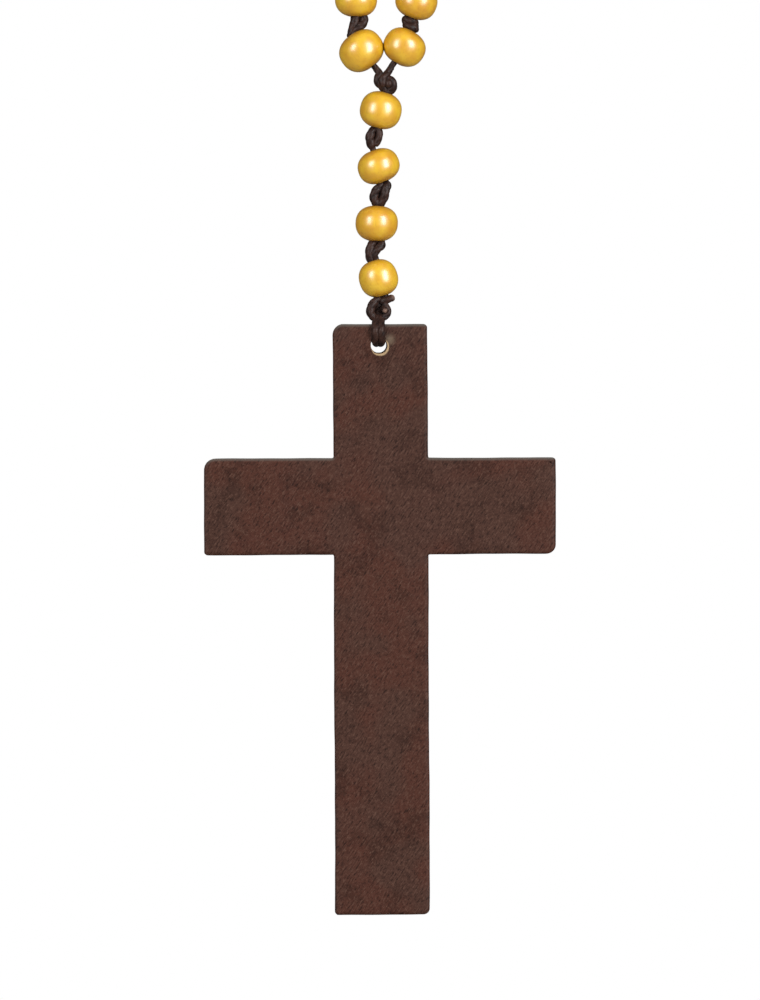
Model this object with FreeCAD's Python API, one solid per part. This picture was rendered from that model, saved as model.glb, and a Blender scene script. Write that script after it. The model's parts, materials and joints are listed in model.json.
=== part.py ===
"""A knotted wooden rosary, hanging from the top of its loop.

Glossy round beads are threaded on a waxed cord with a knot after every bead. The two ends of
the loop meet in the join knot, four more beads hang below it, and a flat wooden cross hangs from
a bight of the cord. Millimetres, +Z up, +X to the right seen from the front, -Y to the front.
The origin is the middle of the cord at the top of the loop, where a neck or a peg carries it.
"""

import FreeCAD, Part
import math
import os

from FreeCAD import Placement, Rotation, Vector

os.makedirs("parts", exist_ok=True)

# Cord and what is tied in it.
CORD_DIAMETER = 1.27
CORD_RADIUS = CORD_DIAMETER / 2
KNOT_RADIUS = 2.0
KNOT_END_RADIUS = 0.8
KNOT_TO_BEAD = 0.15
FOLD_KNOT_LENGTH = 2.9

# The first knot on each side turns a corner between two beads, so its plain shape is smaller.
FIRST_KNOT_RADIUS = 1.1
FIRST_KNOT_TO_BEAD = 0.75

# Where the cord bends: a round cord end turns in a shallow cup under the knot above it.
CUP_GAP = 0.05
CUP_RIM = 0.45
CUP_TOOL_RADIUS = 6.0
CUP_TOOL_LENGTH = 8.0

# Beads: the bore is the same in all of them, and the turned outside differs a little.
BEAD_BORE = 1.8
BEAD_MOUTH = 2.4
BEAD_SIZES = [(8.05, 6.9), (7.85, 7.05), (8.15, 6.75), (7.95, 7.1), (8.1, 6.95)]
PENDANT_BEAD_SIZES = [(8.0, 7.0), (8.2, 6.4), (8.05, 6.65), (7.5, 7.0)]
SIDE_BEAD_SIZES = {"left": [(8.5, 7.1), (8.1, 6.8)], "right": [(8.1, 6.7), (8.0, 6.8)]}

# The loop. Heights in the routes are measured from the join knot's middle, which is this far
# below the origin. Each list is (x, height), up the left side, over the top and down the right.
LOOP_HEIGHT = 265.0
LEFT_BOTTOM_ROUTE = [
    (-0.05, 2.35), (-5.75, 9.7), (-4.75, 12.6), (-4.35, 21.2), (-6.2, 35.0), (-9.9, 58.5),
    (-15.1, 84.8),
]
LEFT_MIDDLE_ROUTE = [(-15.1, 84.8), (-20.4, 112.0), (-25.7, 141.0), (-30.2, 169.4)]
TOP_ROUTE = [
    (-30.2, 169.4), (-34.3, 198.5), (-38.5, 233.9), (-29.3, 253.5), (-10.9, 265.0),
    (10.9, 265.0), (29.4, 253.6), (38.8, 234.0), (35.8, 198.7), (32.1, 169.4),
]
RIGHT_MIDDLE_ROUTE = [(19.1, 84.8), (24.0, 112.4), (28.4, 141.2), (32.1, 169.4)]
RIGHT_BOTTOM_ROUTE = [
    (1.7, 2.2), (7.0, 10.7), (6.0, 12.8), (9.0, 20.4), (10.5, 33.0), (13.8, 57.0), (19.1, 84.8),
]
BEADS_PER_STRETCH = 8
TOP_BEADS = 22
LOOSE_TOP_BEADS = 3
FIRST_BEADS_AT = {"left": (5.3, 15.95), "right": (5.9, 15.6)}
LAST_BEAD_TO_FOLD = 3.8
FOLD_TO_FIRST_BEAD = 7.15
FOLD_TO_KNOT = CUP_RIM + FOLD_KNOT_LENGTH / 2

# The join knot: a tight pair of lumps, as (x, height) of each and its radius.
JOIN_LUMPS = [(0.35, 1.35, 1.75), (1.85, 0.0, 1.85), (1.25, -0.55, 1.35)]

# The hanging string: the places where the cord bends, as (x, height) from the join knot. Each
# bead sits between its own two places, and the knots sit between the beads.
BEAD_ENDS = [
    ((1.22, -1.6), (-0.75, -8.5)),
    ((-1.22, -12.4), (1.35, -19.0)),
    ((-0.05, -23.5), (-0.45, -30.5)),
    ((-0.9, -34.3), (1.35, -41.3)),
]

# The knot above the cross, and the bight that carries the cross.
CROSS_KNOT_BOTTOM = (0.1, -44.6)
CROSS_KNOT_RADIUS = 2.5
CROSS_KNOT_END_RADIUS = 1.35
BIGHT_BALL_RADIUS = 1.2
BIGHT_HALF_DEPTH = 2.85
BIGHT_SHOULDER = (1.15, -45.1)
BIGHT_TURN_HEIGHT = -45.9
BIGHT_LOWEST = -50.38
BIGHT_X = -0.1
STRAND_PITCH = 0.98 * CORD_DIAMETER

# The cross, seen from the front, hung a quarter of a degree out of true.
CROSS_HEIGHT = 114.4
CROSS_STEM = 18.25
CROSS_ARM_HEIGHT = 18.5
CROSS_LEFT_ARM = 25.1
CROSS_RIGHT_ARM = 24.7
CROSS_ARM_DROP = 26.05
CROSS_THICKNESS = 4.0
CROSS_EDGE_RADIUS = 0.6
CROSS_HOLE_DIAMETER = 3.0
HOLE_MOUTH_RADIUS = 0.4
CROSS_HOLE_DROP = 4.05
CROSS_HOLE_OFFSET = 0.28
CROSS_LEAN_DEGREES = 0.25
HOLE_CENTRE = (-0.1, -50.58)
CROSS_CORNER_RADII = {
    "top_left": 1.6,
    "top_right": 0.8,
    "arm_left_top": 1.8,
    "arm_left_foot": 0.7,
    "arm_right_top": 0.7,
    "arm_right_foot": 1.5,
    "foot_left": 0.7,
    "foot_right": 1.0,
    "inside": 0.3,
}

# An arc takes this share of the shorter of the two runs that it joins.
ARC_SHARE = 0.45

FRONT = Vector(0, -1, 0)
written = {}


def place(point):
    """A point of the front view, (x, height from the join knot), in the part's frame."""
    x, height = point
    return Vector(x, 0, height - LOOP_HEIGHT)


def write(name, shape):
    """Check a node's shape and write it to its STEP file."""
    if not shape.isValid():
        raise RuntimeError(f"{name} isn't a valid shape")
    shape.exportStep(f"parts/{name}.step")
    written[name] = shape


def only_solid(shape):
    """The single solid of a boolean's result."""
    shape = shape.removeSplitter()
    if len(shape.Solids) != 1:
        raise RuntimeError(f"{len(shape.Solids)} solids where one was due")
    return shape.Solids[0]


def turned_to(shape, centre, direction):
    """A copy of a shape made about the Z axis at the origin, laid along a direction at a place."""
    copy = shape.copy()
    copy.Placement = Placement(centre, Rotation(Vector(0, 0, 1), direction))
    return copy


def barrel(length, middle_radius, start_radius, end_radius):
    """A solid turned about Z with a round belly and flat ends, centred on the origin."""
    half = length / 2
    belly = Part.Arc(
        Vector(start_radius, 0, -half), Vector(middle_radius, 0, 0), Vector(end_radius, 0, half)
    ).toShape()
    outline = Part.Wire([
        Part.makeLine(Vector(0, 0, -half), Vector(start_radius, 0, -half)),
        belly,
        Part.makeLine(Vector(end_radius, 0, half), Vector(0, 0, half)),
        Part.makeLine(Vector(0, 0, half), Vector(0, 0, -half)),
    ])
    return Part.Face(outline).revolve(Vector(0, 0, 0), Vector(0, 0, 1), 360)


def bead(diameter, length):
    """A turned bead about Z with its bore, centred on the origin."""
    body = barrel(length, diameter / 2, BEAD_MOUTH / 2, BEAD_MOUTH / 2)
    bore = Part.makeCylinder(BEAD_BORE / 2, length + 2, Vector(0, 0, -length / 2 - 1))
    return only_solid(body.cut(bore))


def rounded_path(points, name):
    """Straight runs joined by tangent arcs through a list of points, as one wire."""
    edges = []
    radii = []
    start = points[0]
    for before, corner, after in zip(points, points[1:], points[2:]):
        back = before - corner
        ahead = after - corner
        half_turn = (math.pi - back.getAngle(ahead)) / 2
        trim = ARC_SHARE * min(back.Length, ahead.Length)
        radii.append(trim / math.tan(half_turn))
        back.normalize()
        ahead.normalize()
        arc_start = corner + back * trim
        arc_end = corner + ahead * trim
        inward = (back + ahead).normalize()
        middle = corner + inward * (radii[-1] / math.cos(half_turn) - radii[-1])
        edges.append(Part.makeLine(start, arc_start))
        edges.append(Part.Arc(arc_start, middle, arc_end).toShape())
        start = arc_end
    edges.append(Part.makeLine(start, points[-1]))
    print(f"{name}: radii {[round(r, 1) for r in radii]} mm")
    return Part.Wire(edges)


def along(path, distance):
    """The point and the direction at a distance along a wire."""
    edges = path.OrderedEdges
    while distance > edges[0].Length and len(edges) > 1:
        distance -= edges[0].Length
        edges = edges[1:]
    at = edges[0].getParameterByLength(min(distance, edges[0].Length))
    return edges[0].valueAt(at), edges[0].tangentAt(at)


def tube(path, name):
    """A round cord along a wire, with its volume compared with its section times its length."""
    start, direction = along(path, 0.0)
    section = Part.Wire([Part.makeCircle(CORD_RADIUS, start, direction)])
    solid = path.makePipeShell([section], True, False)
    expected = math.pi * CORD_RADIUS**2 * path.Length
    print(f"{name}: length {path.Length:.1f} mm, volume {solid.Volume / expected:.4f} of its due")
    return solid.Solids[0]


def cup(shape, centre, upward, ball_radius=CORD_RADIUS):
    """Open a shape below a bending place and hollow a shallow cup for the round end there."""
    tool = Part.makeCylinder(CUP_TOOL_RADIUS, CUP_TOOL_LENGTH, Vector(0, 0, -CUP_TOOL_LENGTH))
    below = turned_to(tool, centre + upward * CUP_RIM, upward)
    return shape.cut(below).cut(Part.makeSphere(ball_radius + CUP_GAP, centre))


def even(first, last, count):
    """Evenly spaced distances from the first to the last."""
    return [first + (last - first) * i / (count - 1) for i in range(count)]


def knot(length, middle_radius=KNOT_RADIUS, end_radius=KNOT_END_RADIUS):
    """A knot's plain outer shape about Z, centred on the origin."""
    return barrel(length, middle_radius, KNOT_END_RADIUS, end_radius)


def strand(name, path, beads, fold_knots=(), first_is_small=False):
    """One stretch of the loop's cord: its tube, a knot that fills each gap between neighbouring
    beads, given as (distance along the path, length), and the knots that sit on a fold."""
    knots = []
    for i, ((here, length), (there, next_length)) in enumerate(zip(beads, beads[1:])):
        small = first_is_small and i == 0
        clearance = FIRST_KNOT_TO_BEAD if small else KNOT_TO_BEAD
        gap_start = here + length / 2 + clearance
        gap_end = there - next_length / 2 - clearance
        centre, direction = along(path, (gap_start + gap_end) / 2)
        filling = knot(gap_end - gap_start, FIRST_KNOT_RADIUS if small else KNOT_RADIUS)
        knots.append(turned_to(filling, centre, direction))
    for distance in fold_knots:
        centre, direction = along(path, distance)
        knots.append(turned_to(knot(FOLD_KNOT_LENGTH), centre, direction))
    return tube(path, name).multiFuse(knots)


def side_bead_size(side, number):
    """The diameter and length of a bead on one side of the loop, counted up from the join."""
    special = SIDE_BEAD_SIZES[side]
    if number <= len(special):
        return special[number - 1]
    return BEAD_SIZES[(number * 2 + (side == "right")) % len(BEAD_SIZES)]


def top_bead_size(number):
    """The diameter and length of a bead of the top stretch, counted from its left end."""
    return BEAD_SIZES[(number * 3) % len(BEAD_SIZES)]


def make_side(side, bottom_route, middle_route):
    """The two lower stretches of one side of the loop, with their beads."""
    first, second = FIRST_BEADS_AT[side]
    bottom = rounded_path([place(p) for p in bottom_route], f"loop_cord_bottom_{side}")
    last = bottom.Length - LAST_BEAD_TO_FOLD
    bottom_places = [first, *even(second, last, BEADS_PER_STRETCH - 1)]
    middle = rounded_path([place(p) for p in middle_route], f"loop_cord_middle_{side}")
    last = middle.Length - LAST_BEAD_TO_FOLD
    middle_places = even(FOLD_TO_FIRST_BEAD, last, BEADS_PER_STRETCH)
    sizes = [side_bead_size(side, n) for n in range(1, 2 * BEADS_PER_STRETCH + 1)]
    lengths = [length for _, length in sizes]

    bottom_beads = list(zip(bottom_places, lengths[:BEADS_PER_STRETCH]))
    low_fold = place(bottom_route[-1])
    cord = strand(f"loop_cord_bottom_{side}", bottom, bottom_beads, first_is_small=True)
    cord = cord.fuse(Part.makeSphere(CORD_RADIUS, low_fold))
    write(f"loop_cord_bottom_{side}", only_solid(cord))

    middle_beads = list(zip(middle_places, lengths[BEADS_PER_STRETCH:]))
    cord = strand(f"loop_cord_middle_{side}", middle, middle_beads, [FOLD_TO_KNOT])
    cord = cup(cord, low_fold, along(middle, 0.0)[1])
    cord = cord.fuse(Part.makeSphere(CORD_RADIUS, place(middle_route[-1])))
    write(f"loop_cord_middle_{side}", only_solid(cord))

    places = [along(bottom, s) for s in bottom_places] + [along(middle, s) for s in middle_places]
    for number, (size, (centre, direction)) in enumerate(zip(sizes, places), start=1):
        write(f"{side}_bead_{number:02d}", turned_to(bead(*size), centre, direction))


def make_top():
    """The top stretch of the loop, over the neck or the peg. Its lowest beads on each side turn
    freely and have nodes of their own, and those that lie on the support share one node."""
    path = rounded_path([place(p) for p in TOP_ROUTE], "loop_cord_top")
    distances = even(FOLD_TO_FIRST_BEAD, path.Length - FOLD_TO_FIRST_BEAD, TOP_BEADS)
    sizes = [top_bead_size(n) for n in range(TOP_BEADS)]
    beads = list(zip(distances, [length for _, length in sizes]))
    cord = strand("loop_cord_top", path, beads, [FOLD_TO_KNOT, path.Length - FOLD_TO_KNOT])
    cord = cup(cord, place(TOP_ROUTE[0]), along(path, 0.0)[1])
    cord = cup(cord, place(TOP_ROUTE[-1]), along(path, path.Length)[1] * -1)
    write("loop_cord_top", only_solid(cord))

    placed = [turned_to(bead(*size), *along(path, s)) for size, s in zip(sizes, distances)]
    for i in range(LOOSE_TOP_BEADS):
        number = 2 * BEADS_PER_STRETCH + 1 + i
        write(f"left_bead_{number:02d}", placed[i])
        write(f"right_bead_{number:02d}", placed[-1 - i])
    write("top_beads", Part.makeCompound(placed[LOOSE_TOP_BEADS:-LOOSE_TOP_BEADS]))


def make_join_knot():
    """The knot where the loop's two ends meet and the hanging string begins."""
    lumps = [Part.makeSphere(r, place((x, height))) for x, height, r in JOIN_LUMPS]
    joined = lumps[0].multiFuse(lumps[1:])
    for route in (LEFT_BOTTOM_ROUTE, RIGHT_BOTTOM_ROUTE):
        end, after = place(route[0]), place(route[1])
        outward = (after - end).normalize()
        beyond = Part.makeCylinder(CUP_TOOL_RADIUS, CUP_TOOL_LENGTH, end, outward)
        leg = Part.makeCylinder(CORD_RADIUS, 1.2, end - outward * 1.2, outward)
        joined = joined.cut(beyond).fuse(leg)
    top, bottom = BEAD_ENDS[0]
    upward = (place(top) - place(bottom)).normalize()
    write("join_knot", only_solid(cup(joined, place(top), upward)))


def bead_axes():
    """The direction of each hanging bead's bore, from its upper end to its lower one."""
    return [(place(bottom) - place(top)).normalize() for top, bottom in BEAD_ENDS]


def make_pendant():
    """The hanging string: four beads, the cord inside them, and the knots between them. Each
    knot's ends are square to the beads beside it, which leaves both beads room to swing."""
    axes = bead_axes()
    for number, (ends, axis, size) in enumerate(zip(BEAD_ENDS, axes, PENDANT_BEAD_SIZES), start=1):
        top, bottom = place(ends[0]), place(ends[1])
        core = Part.makeCylinder(CORD_RADIUS, (bottom - top).Length, top, axis)
        caps = [Part.makeSphere(CORD_RADIUS, end) for end in (top, bottom)]
        write(f"pendant_cord_{number}", only_solid(core.multiFuse(caps)))
        write(f"pendant_bead_{number}", turned_to(bead(*size), (top + bottom) * 0.5, axis))

    for i, (above, below) in enumerate(zip(BEAD_ENDS, BEAD_ENDS[1:])):
        top, bottom = place(above[1]), place(below[0])
        lump = Part.makeSphere(KNOT_RADIUS, (top + bottom) * 0.5)
        lump = cup(cup(lump, top, axes[i]), bottom, axes[i + 1] * -1)
        write(f"pendant_knot_{i + 1}", only_solid(lump))


def make_cross_knot():
    """The big knot above the cross, with a cup for the cord above and one for the bight below."""
    top, bottom = place(BEAD_ENDS[-1][1]), place(CROSS_KNOT_BOTTOM)
    lump = knot((bottom - top).Length, CROSS_KNOT_RADIUS, CROSS_KNOT_END_RADIUS)
    lump = turned_to(lump, (top + bottom) * 0.5, bottom - top)
    lump = cup(lump, top, bead_axes()[-1])
    lump = cup(lump, bottom, Vector(0, 0, 1), BIGHT_BALL_RADIUS)
    write("cross_knot", only_solid(lump))


def make_bight():
    """The doubled bight of cord that passes through the cross, down the front and up the back,
    under a ball that tilts in the cross knot's cup."""
    shoulder, shoulder_height = BIGHT_SHOULDER
    front_half = [
        (-shoulder, shoulder_height),
        (-BIGHT_HALF_DEPTH, BIGHT_TURN_HEIGHT),
        (-BIGHT_HALF_DEPTH, BIGHT_LOWEST),
    ]
    ring = front_half + [(-y, height) for y, height in reversed(front_half)]
    pieces = [Part.makeSphere(BIGHT_BALL_RADIUS, place(CROSS_KNOT_BOTTOM))]
    for x in (BIGHT_X - STRAND_PITCH / 2, BIGHT_X + STRAND_PITCH / 2):
        route = [Vector(x, y, height - LOOP_HEIGHT) for y, height in ring]
        pieces.append(tube(rounded_path(route, "bight strand"), "bight strand"))
        crown = Part.makeCylinder(CORD_RADIUS, 2 * shoulder, route[0], FRONT * -1)
        pieces.append(crown)
    write("cross_bight", only_solid(pieces[0].multiFuse(pieces[1:])))


def cross_corners():
    """The cross's corners, from the top left and clockwise, as (point, radius), with the hole's
    centre at the origin."""
    radii = CROSS_CORNER_RADII
    left = CROSS_HOLE_OFFSET - CROSS_STEM / 2
    right = CROSS_HOLE_OFFSET + CROSS_STEM / 2
    top = CROSS_HOLE_DROP
    arm_top = top - CROSS_ARM_DROP
    arm_foot = arm_top - CROSS_ARM_HEIGHT
    foot = top - CROSS_HEIGHT
    far_left = left - CROSS_LEFT_ARM
    far_right = right + CROSS_RIGHT_ARM
    corners = [
        (left, top, radii["top_left"]),
        (right, top, radii["top_right"]),
        (right, arm_top, radii["inside"]),
        (far_right, arm_top, radii["arm_right_top"]),
        (far_right, arm_foot, radii["arm_right_foot"]),
        (right, arm_foot, radii["inside"]),
        (right, foot, radii["foot_right"]),
        (left, foot, radii["foot_left"]),
        (left, arm_foot, radii["inside"]),
        (far_left, arm_foot, radii["arm_left_foot"]),
        (far_left, arm_top, radii["arm_left_top"]),
        (left, arm_top, radii["inside"]),
    ]
    return [(Vector(x, 0, z), radius) for x, z, radius in corners]


def corner_arc(before, corner, after, radius):
    """The quarter arc that rounds one square corner, with its first and last points."""
    back = (before - corner).normalize()
    ahead = (after - corner).normalize()
    centre = corner + (back + ahead) * radius
    start = corner + back * radius
    end = corner + ahead * radius
    middle = centre + (corner - centre).normalize() * radius
    return start, Part.Arc(start, middle, end).toShape(), end


def make_cross():
    """The flat wooden cross with eased edges and its hanging hole."""
    corners = cross_corners()
    arcs = []
    for i, (corner, radius) in enumerate(corners):
        before = corners[i - 1][0]
        after = corners[(i + 1) % len(corners)][0]
        arcs.append(corner_arc(before, corner, after, radius))
    edges = []
    for (_, arc, end), (next_start, _, _) in zip(arcs, arcs[1:] + arcs[:1]):
        edges += [arc, Part.makeLine(end, next_start)]

    depth = Vector(0, CROSS_THICKNESS, 0)
    board = Part.Face(Part.Wire(edges)).extrude(depth)
    rim = [edge for edge in board.Edges if edge.BoundBox.YLength < CROSS_EDGE_RADIUS]
    board = board.makeFillet(CROSS_EDGE_RADIUS, rim)
    hole = Part.makeCylinder(CROSS_HOLE_DIAMETER / 2, CROSS_THICKNESS, Vector(), depth)
    board = board.cut(hole)
    mouths = [
        edge
        for edge in board.Edges
        if edge.BoundBox.YLength < HOLE_MOUTH_RADIUS and edge.BoundBox.DiagonalLength < 5.0
        and edge.CenterOfMass.Length < CROSS_THICKNESS + HOLE_MOUTH_RADIUS
    ]
    board = only_solid(board.makeFillet(HOLE_MOUTH_RADIUS, mouths))
    board.translate(depth * -0.5)
    board.rotate(Vector(), FRONT, CROSS_LEAN_DEGREES)
    board.translate(place(HOLE_CENTRE))
    write("cross", board)


make_cross()
make_bight()
make_cross_knot()
make_pendant()
make_join_knot()
make_side("left", LEFT_BOTTOM_ROUTE, LEFT_MIDDLE_ROUTE)
make_side("right", RIGHT_BOTTOM_ROUTE, RIGHT_MIDDLE_ROUTE)
make_top()
print(f"{len(written)} nodes, {sum(len(s.Solids) for s in written.values())} solids")
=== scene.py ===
"""The look of a knotted wooden rosary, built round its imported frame.

Round lacquered beads sit on a waxed brown cord with an overhand knot after each one, the loop's
two ends meet in a join knot, four more beads hang below it, and a flat stained cross hangs from a
doubled bight of the cord. Metres, +Z up, -Y to the front; a class's sizes are millimetres where
it doesn't say metres.
"""

from __future__ import annotations

import itertools
import json
import logging
import math
from dataclasses import dataclass, field
from enum import Enum
from typing import Sequence

import bmesh
import bpy
import numpy as np
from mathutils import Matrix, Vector
from mathutils.geometry import delaunay_2d_cdt


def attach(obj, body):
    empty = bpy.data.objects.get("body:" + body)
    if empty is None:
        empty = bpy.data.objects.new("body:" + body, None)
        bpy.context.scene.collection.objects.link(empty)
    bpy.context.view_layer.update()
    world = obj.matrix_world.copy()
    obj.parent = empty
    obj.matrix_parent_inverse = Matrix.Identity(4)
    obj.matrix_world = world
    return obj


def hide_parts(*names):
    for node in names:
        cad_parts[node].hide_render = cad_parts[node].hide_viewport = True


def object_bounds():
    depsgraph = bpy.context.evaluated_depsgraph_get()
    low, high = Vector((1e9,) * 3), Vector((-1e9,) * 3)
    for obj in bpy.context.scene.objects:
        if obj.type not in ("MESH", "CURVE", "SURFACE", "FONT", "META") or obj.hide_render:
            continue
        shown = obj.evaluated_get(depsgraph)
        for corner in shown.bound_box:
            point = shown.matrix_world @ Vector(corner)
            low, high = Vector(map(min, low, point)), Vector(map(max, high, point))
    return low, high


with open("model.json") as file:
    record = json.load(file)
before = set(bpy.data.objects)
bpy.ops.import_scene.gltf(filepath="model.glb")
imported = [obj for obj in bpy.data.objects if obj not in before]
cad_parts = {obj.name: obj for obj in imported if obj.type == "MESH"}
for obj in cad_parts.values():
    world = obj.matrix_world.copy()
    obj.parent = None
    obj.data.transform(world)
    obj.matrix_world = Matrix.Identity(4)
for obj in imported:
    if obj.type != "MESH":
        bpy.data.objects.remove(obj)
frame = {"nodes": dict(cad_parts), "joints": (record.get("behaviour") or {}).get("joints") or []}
CAD_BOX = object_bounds()

LOG = logging.getLogger("rosary")
Array = np.ndarray
Socket = bpy.types.NodeSocket
MM = 0.001
LOOP_HEIGHT = 265.0  # the join knot's middle is this far below the origin
CORD = 1.27  # the cord's thickness

SIDE_BEADS = 19  # beads of their own on each side of the loop
FOLD_GAPS = (7, 15)  # the gaps between them in which the loop folds, counted up from 0
HOLE_AT = (-0.1, -50.58)  # the middle of the cross's hole, as (x, height above the join knot)
FRONT = np.array([0.0, 1.0, 0.0])  # the way from the front to the back


@dataclass(frozen=True)
class Stretch:
    """A part of the loop's cord between its folds.

    Attributes:
        body: The body that it rides on.
        length: The cord's length, in millimetres.
        route: Its way, as (x, height above the join knot) in millimetres.
    """

    body: str
    length: float
    route: tuple[tuple[float, float], ...]


STRETCHES = {
    "loop_cord_bottom_left": Stretch("loop_bottom", 85.2, (
        (-0.05, 2.35), (-5.75, 9.7), (-4.75, 12.6), (-4.35, 21.2), (-6.2, 35.0), (-9.9, 58.5),
        (-15.1, 84.8),
    )),
    "loop_cord_bottom_right": Stretch("loop_bottom", 85.4, (
        (1.7, 2.2), (7.0, 10.7), (6.0, 12.8), (9.0, 20.4), (10.5, 33.0), (13.8, 57.0),
        (19.1, 84.8),
    )),
    "loop_cord_middle_left": Stretch("loop_middle", 85.9, (
        (-15.1, 84.8), (-20.4, 112.0), (-25.7, 141.0), (-30.2, 169.4),
    )),
    "loop_cord_middle_right": Stretch("loop_middle", 85.6, (
        (19.1, 84.8), (24.0, 112.4), (28.4, 141.2), (32.1, 169.4),
    )),
    "loop_cord_top": Stretch("loop_top", 235.6, (
        (-30.2, 169.4), (-34.3, 198.5), (-38.5, 233.9), (-29.3, 253.5), (-10.9, 265.0),
        (10.9, 265.0), (29.4, 253.6), (38.8, 234.0), (35.8, 198.7), (32.1, 169.4),
    )),
}


def at(x: float, height: float, depth: float = 0.0) -> Array:
    """A place in the frame, in metres.

    Args:
        x: Millimetres to the right of the middle.
        height: Millimetres above the join knot.
        depth: Millimetres behind the middle plane.

    Returns:
        The point as an array of three.
    """
    return np.array([x, depth, height - LOOP_HEIGHT]) * MM


def places(points: Sequence[Sequence[float]]) -> Array:
    """Several places given as (x, height) or (x, height, depth) in millimetres."""
    return np.array([at(*point) for point in points])


def unit(vectors: Array) -> Array:
    """Each vector divided by its own length."""
    return vectors / np.linalg.norm(vectors, axis=-1, keepdims=True)


def linear(code: str) -> tuple[float, float, float, float]:
    """An sRGB hex colour turned to linear light, with full alpha.

    Args:
        code: Six hex digits.

    Returns:
        Red, green, blue and alpha.
    """
    share = [int(code[i : i + 2], 16) / 255 for i in (0, 2, 4)]
    light = [s / 12.92 if s <= 0.04045 else ((s + 0.055) / 1.055) ** 2.4 for s in share]
    return light[0], light[1], light[2], 1.0


# ---------------------------------------------------------------- lines


def lengths_along(line: Array) -> Array:
    """The distance from a line's start to each of its points."""
    steps = np.linalg.norm(np.diff(line, axis=0), axis=1)
    return np.concatenate([[0.0], np.cumsum(steps)])


def point_on(line: Array, distance: Array | float) -> Array:
    """Points at distances along a line, by straight interpolation between its points."""
    walked = lengths_along(line)
    return np.stack([np.interp(distance, walked, line[:, k]) for k in range(3)], axis=-1)


def spaced(line: Array, step: float) -> Array:
    """A line walked again in equal steps.

    Args:
        line: Its points.
        step: The wished distance between new points, in metres.

    Returns:
        The new points, first and last kept.
    """
    total = lengths_along(line)[-1]
    return point_on(line, np.linspace(0.0, total, max(4, round(total / step) + 1)))


def curved(points: Array, per_run: int = 10) -> Array:
    """A smooth line through every point: a Catmull-Rom curve, where the run from b to c bends with
    half of (c - a) at its start and half of (d - b) at its end.

    Args:
        points: The points that it passes.
        per_run: New points for each run.

    Returns:
        The line's points.
    """
    whole = np.vstack([2 * points[0] - points[1], points, 2 * points[-1] - points[-2]])
    a, b, c, d = whole[:-3, None], whole[1:-2, None], whole[2:-1, None], whole[3:, None]
    u = np.linspace(0.0, 1.0, per_run, endpoint=False)[None, :, None]
    runs = 0.5 * (
        2 * b + (c - a) * u + (2 * a - 5 * b + 4 * c - d) * u**2 + (3 * b - a - 3 * c + d) * u**3
    )
    return np.vstack([runs.reshape(-1, 3), points[-1]])


def frames_along(line: Array) -> tuple[Array, Array, Array]:
    """Directions that go with a line without twisting: each station's sideways direction is the
    last one's with its part along the new tangent taken off.

    Args:
        line: The line's points.

    Returns:
        The tangents, and two directions square to them and to each other.
    """
    tangents = unit(np.gradient(line, axis=0))
    first = np.cross(tangents[0], [0.0, 1.0, 0.0])
    if np.linalg.norm(first) < 0.1:
        first = np.cross(tangents[0], [1.0, 0.0, 0.0])
    carried = itertools.accumulate(
        tangents[1:], lambda side, t: unit(side - t * (side @ t)), initial=unit(first)
    )
    sides = np.array(list(carried))
    return tangents, sides, np.cross(tangents, sides)


# ---------------------------------------------------------------- meshes


@dataclass
class Skin:
    """A surface: a grid of points closed round its columns, or loose points with triangles.

    Attributes:
        points: Rows by columns by three, or points by three, in metres.
        closed: Whether the grid's last row joins the first.
        values: Named values at every point, one number or three.
        triangles: Rows of point numbers, where it isn't a grid.
    """

    points: Array
    closed: bool = False
    values: dict[str, Array] = field(default_factory=dict)
    triangles: Array | None = None

    def faces(self) -> Array:
        """Its faces, as rows of point numbers."""
        if self.triangles is not None:
            return self.triangles
        rows, columns = self.points.shape[:2]
        i, j = np.meshgrid(
            np.arange(rows if self.closed else rows - 1), np.arange(columns), indexing="ij"
        )
        below, beside = (i + 1) % rows, (j + 1) % columns
        corners = [i * columns + j, i * columns + beside, below * columns + beside]
        return np.stack([*corners, below * columns + j], axis=-1).reshape(-1, 4)


class Slot(Enum):
    """The record's material slots."""

    BEAD = "bead"
    CORD = "cord"
    CROSS = "cross"


def mesh_from(name: str, skins: Sequence[Skin], near: float = 1e-7) -> bpy.types.Mesh:
    """One smooth mesh from several surfaces, with its faces outwards.

    Args:
        name: The mesh's name.
        skins: The surfaces.
        near: Points no farther apart than this are merged, in metres.

    Returns:
        The mesh.
    """
    counts = [skin.points.size // 3 for skin in skins]
    starts = np.cumsum([0, *counts[:-1]])
    corners = np.vstack([skin.points.reshape(-1, 3) for skin in skins])
    faces = [skin.faces() + start for skin, start in zip(skins, starts)]
    sides = np.concatenate([np.full(len(f), f.shape[1]) for f in faces])
    used = np.concatenate([f.ravel() for f in faces]).astype(np.int32)
    mesh = bpy.data.meshes.new(name)
    mesh.vertices.add(len(corners))
    mesh.vertices.foreach_set("co", corners.ravel())
    mesh.loops.add(len(used))
    mesh.loops.foreach_set("vertex_index", used)
    mesh.polygons.add(len(sides))
    mesh.polygons.foreach_set("loop_start", (np.cumsum(sides) - sides).astype(np.int32))
    mesh.polygons.foreach_set("use_smooth", np.ones(len(sides), bool))
    mesh.update(calc_edges=True)
    for key in skins[0].values:
        whole = np.concatenate([skin.values[key].reshape(n, -1) for skin, n in zip(skins, counts)])
        kind = "FLOAT_VECTOR" if whole.shape[1] == 3 else "FLOAT"
        layer = mesh.attributes.new(key, kind, "POINT")
        layer.data.foreach_set("vector" if kind == "FLOAT_VECTOR" else "value", whole.ravel())
    edit = bmesh.new()
    edit.from_mesh(mesh)
    bmesh.ops.remove_doubles(edit, verts=edit.verts, dist=near)
    bmesh.ops.recalc_face_normals(edit, faces=edit.faces)
    edit.to_mesh(mesh)
    edit.free()
    return mesh


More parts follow.
